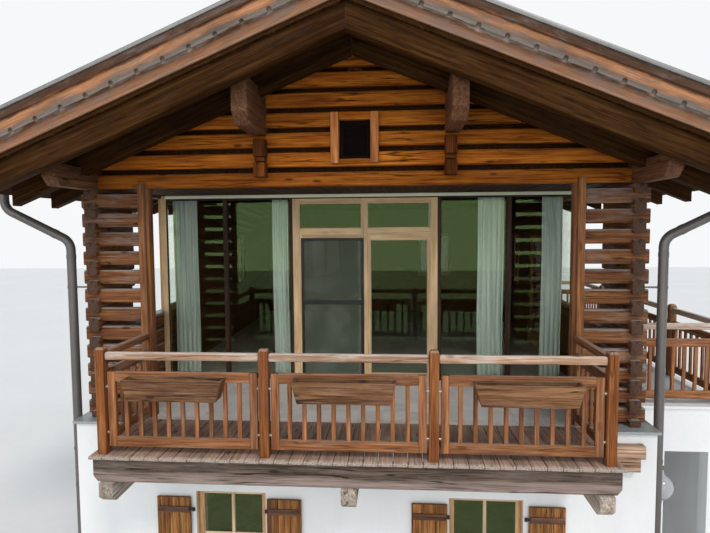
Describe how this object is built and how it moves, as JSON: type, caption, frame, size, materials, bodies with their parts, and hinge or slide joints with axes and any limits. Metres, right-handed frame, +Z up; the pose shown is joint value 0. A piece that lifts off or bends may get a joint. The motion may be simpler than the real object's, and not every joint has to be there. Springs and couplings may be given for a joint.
{
  "type": "alpine chalet",
  "caption": "Alpine chalet with plastered ground floor, log upper floor, deep loggia with balcony, hinged shutters, side gallery and low gable roof.",
  "frame": {"origin": "on the ground under the ridge, at half the depth of the masonry, in the plane of the ground slab's underside", "axes": "+Z up, front gable and balcony towards -Y, +X to the right as seen from the front, side gallery on +X"},
  "size_m": [8.638, 10.8615, 7.4048],
  "materials": {
    "plaster": "matt, rough cast",
    "concrete": "matt",
    "tiles": "matt",
    "coping": "matt",
    "window_wood": "varnished, satin",
    "glass": "clear",
    "stone": "matt",
    "iron": "painted, matt",
    "shutter_wood": "varnished, satin",
    "stained_wood": "stained, weathered",
    "deck_wood": "weathered",
    "rail_wood": "stained, satin",
    "box_wood": "stained, satin",
    "log_wood": "weathered, matt",
    "dark_wood": "stained, matt",
    "sheet_metal": "satin",
    "verge_wood": "stained, weathered",
    "dark_metal": "painted, satin",
    "curtain_cloth": "soft",
    "lamp_glass": "opal"
  },
  "bodies": {
    "house": {"ground_slab": "concrete", "front_wall": "plaster", "left_wall": "plaster", "right_wall": "plaster", "back_wall": "plaster", "upper_floor": "plaster", "floor_finish": "tiles", "wall_coping": "coping", "ground_windows": "window_wood", "window_sills": "stone", "shutter_pintles": "iron", "side_shutters": "shutter_wood", "balcony_brackets": "stained_wood", "balcony_frame": "stained_wood", "balcony_deck": "deck_wood", "balcony_posts": "rail_wood", "balcony_handrail": "stained_wood", "balcony_panels": "rail_wood", "flower_boxes": "box_wood", "front_corner_logs": "log_wood", "left_logs": "log_wood", "right_logs": "log_wood", "back_logs": "log_wood", "gable_logs": "log_wood", "wall_lining": "dark_wood", "gable_lining": "dark_wood", "jamb_posts": "rail_wood", "lintel_beam": "log_wood", "loggia_ceiling": "dark_wood", "gable_windows": "dark_wood", "purlin_stubs": "log_wood", "purlins": "stained_wood", "rafters": "dark_wood", "left_roof": "dark_wood", "right_roof": "dark_wood", "roof_sheet": "sheet_metal", "ridge_cap": "sheet_metal", "verge_boards": "verge_wood", "gutters": "dark_metal", "downpipes": "dark_metal", "pipe_clamps": "dark_metal", "glass_wall": "window_wood", "terrace_door": "window_wood", "side_doors": "shutter_wood", "curtains": "curtain_cloth", "upper_windows": "window_wood", "window_panes": "glass", "gallery_floor": "plaster", "gallery_walls": "plaster", "gallery_railing": "rail_wood", "wall_beam_ends": "log_wood", "wall_lamp": "lamp_glass"},
    "shutter_leaf_1": {"shutter_1": "shutter_wood"},
    "shutter_leaf_2": {"shutter_2": "shutter_wood"},
    "shutter_leaf_3": {"shutter_3": "shutter_wood"},
    "shutter_leaf_4": {"shutter_4": "shutter_wood"}
  },
  "joints": [
    {"name": "shutter_1_hinge", "type": "hinge", "parent": "house", "child": "shutter_leaf_1", "pos_m": [-1.848, -4.44, 0.765], "axis": [0, 0, 1], "range_deg": [0, 180]},
    {"name": "shutter_2_hinge", "type": "hinge", "parent": "house", "child": "shutter_leaf_2", "pos_m": [-1.015, -4.44, 0.765], "axis": [0, 0, -1], "range_deg": [0, 180]},
    {"name": "shutter_3_hinge", "type": "hinge", "parent": "house", "child": "shutter_leaf_3", "pos_m": [1.015, -4.44, 0.765], "axis": [0, 0, 1], "range_deg": [0, 180]},
    {"name": "shutter_4_hinge", "type": "hinge", "parent": "house", "child": "shutter_leaf_4", "pos_m": [1.848, -4.44, 0.765], "axis": [0, 0, -1], "range_deg": [0, 180]}
  ]
}
